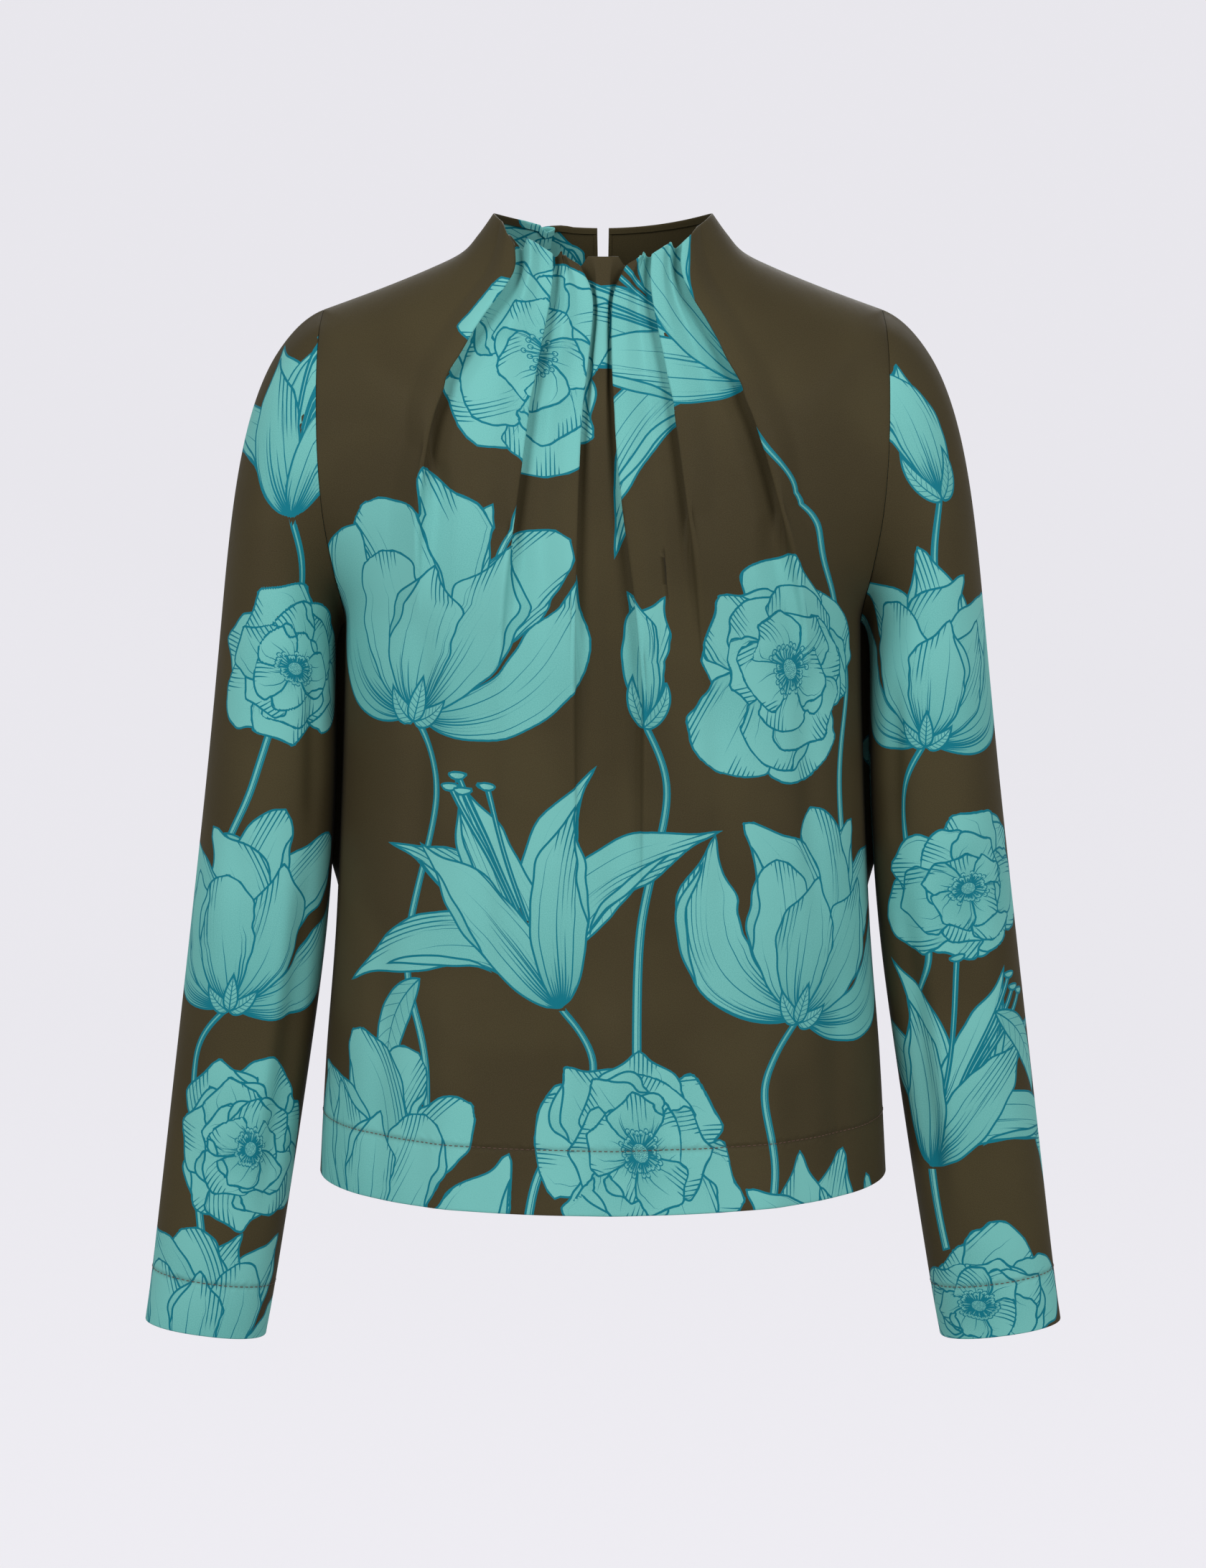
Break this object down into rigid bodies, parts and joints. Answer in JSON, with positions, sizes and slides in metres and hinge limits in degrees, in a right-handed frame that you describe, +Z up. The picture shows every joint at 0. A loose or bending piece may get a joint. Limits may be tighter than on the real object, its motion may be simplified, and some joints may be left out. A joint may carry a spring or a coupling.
{
  "type": "blouse",
  "caption": "Long-sleeved blouse with a pleated funnel neck, a slit at the back neck and straight cuffs, filled out and hollow, all over floral print.",
  "frame": {"origin": "inside the neck, midway between the shoulder seams where they meet the neck: the blouse hangs from the shoulders there", "axes": "+Z up, the front faces -Y, +X to the right as seen from the front; the left and right names are as seen from the front"},
  "size_m": [0.5938, 0.2532, 0.7204],
  "materials": {
    "printed_crepe": "smooth crepe with a soft sheen, printed all over with turquoise flowers on dark olive brown"
  },
  "bodies": {
    "root": {"front": "printed_crepe", "back_left": "printed_crepe", "back_right": "printed_crepe", "sleeve_left": "printed_crepe", "sleeve_right": "printed_crepe"}
  },
  "joints": []
}
